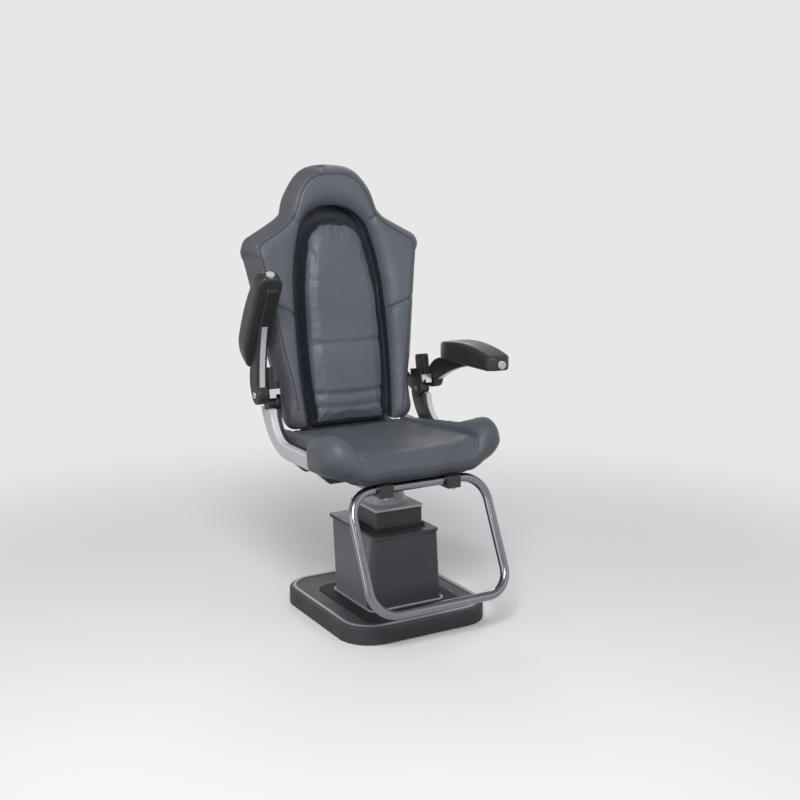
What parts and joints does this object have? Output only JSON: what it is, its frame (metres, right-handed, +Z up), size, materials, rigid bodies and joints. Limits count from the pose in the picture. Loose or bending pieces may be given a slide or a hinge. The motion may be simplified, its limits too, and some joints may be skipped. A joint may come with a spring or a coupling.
{
  "type": "ophthalmic examination chair",
  "caption": "Motorised examination chair: padded seat and winged backrest on a telescoping box column, with folding armrests, a chrome footrest hoop and a flat base.",
  "frame": {"origin": "on the floor, on the swivel axis, at the middle of the centre foot pad", "axes": "+Z up, -Y the way the sitter faces, +X the sitter's left"},
  "size_m": [0.658, 0.741, 1.2558],
  "materials": {
    "upholstery": "soft grained upholstery, satin",
    "black_plastic": "matte, fine grain",
    "dark_grey_plastic": "matte, fine grain",
    "grey_plastic": "matte, fine grain",
    "light_plastic": "satin",
    "white_paint": "satin powder coat",
    "black_paint": "satin powder coat",
    "grey_paint": "satin powder coat",
    "chrome": "polished",
    "steel": "machined",
    "silver": "satin",
    "rubber": "matte"
  },
  "bodies": {
    "base": {"base_plate": "grey_paint", "levelling_feet": "rubber", "base_cover": "dark_grey_plastic", "base_edge_trim": "light_plastic", "base_mat": "rubber", "column_foot_trim": "light_plastic", "cover_screws": "steel", "lower_front_cover": "dark_grey_plastic", "lower_rear_cover": "grey_plastic", "housing_lid": "black_plastic", "wiper_gasket": "rubber", "outer_guide_tube": "steel", "outer_guide_pads": "light_plastic", "actuator_gearbox": "silver", "actuator_motor": "grey_paint", "actuator_tube": "steel", "control_box": "black_plastic", "mains_inlet": "black_plastic"},
    "lift": {"upper_box_cover": "dark_grey_plastic", "upper_cap": "light_plastic", "inner_guide_tube": "steel", "inner_guide_pads": "light_plastic", "actuator_rod": "chrome", "lift_head_plate": "steel", "swivel_housing": "white_paint", "swivel_bearings": "steel"},
    "seat": {"swivel_spindle": "steel", "seat_mount_plate": "white_paint", "seat_frame": "black_paint", "seat_side_plates": "black_paint", "seat_pan": "black_paint", "seat_cushion": "upholstery", "footrest_hoop": "chrome", "hoop_clamps": "silver", "clamp_screws": "steel", "left_bracket_plate": "black_paint", "right_bracket_plate": "black_paint", "left_bracket_cover": "white_paint", "right_bracket_cover": "white_paint", "bracket_bolts": "steel", "recliner_hubs": "black_plastic"},
    "backrest": {"back_frame": "black_paint", "recliner_side_plates": "black_paint", "recliner_pins": "steel", "upright_blocks": "silver", "pivot_covers": "black_plastic", "arm_bolts": "steel", "back_board": "black_plastic", "back_shell": "dark_grey_plastic", "back_surround_cushion": "upholstery", "back_centre_cushion": "upholstery"},
    "left_arm": {"left_arm_neck": "black_plastic", "left_arm_strip": "silver", "left_arm_pad": "black_plastic"},
    "right_arm": {"right_arm_neck": "black_plastic", "right_arm_strip": "silver", "right_arm_pad": "black_plastic"},
    "left_button": {"left_arm_button": "light_plastic"},
    "right_button": {"right_arm_button": "light_plastic"}
  },
  "joints": [
    {"name": "column_lift", "type": "slide", "parent": "base", "child": "lift", "axis": [0, 0, 1], "range_m": [0, 0.16]},
    {"name": "seat_swivel", "type": "hinge", "parent": "lift", "child": "seat", "pos_m": [0, 0, 0.36], "axis": [0, 0, 1], "continuous": true},
    {"name": "backrest_recline", "type": "hinge", "parent": "seat", "child": "backrest", "pos_m": [0, 0.212, 0.587], "axis": [-1, 0, 0], "range_deg": [0, 45]},
    {"name": "left_arm_fold", "type": "hinge", "parent": "backrest", "child": "left_arm", "pos_m": [0.286, 0.20093, 0.61637], "axis": [-1, 0, 0], "range_deg": [0, 60]},
    {"name": "right_arm_fold", "type": "hinge", "parent": "backrest", "child": "right_arm", "pos_m": [-0.286, 0.20093, 0.61637], "axis": [1, 0, 0], "range_deg": [0, 60]},
    {"name": "left_button_press", "type": "slide", "parent": "left_arm", "child": "left_button", "axis": [0, 1, 0], "range_m": [0, 0.003], "stiffness_N_per_m": 400, "springref_m": -0.002},
    {"name": "right_button_press", "type": "slide", "parent": "right_arm", "child": "right_button", "axis": [0, 0.5, -0.866], "range_m": [0, 0.003], "stiffness_N_per_m": 400, "springref_m": -0.002}
  ]
}
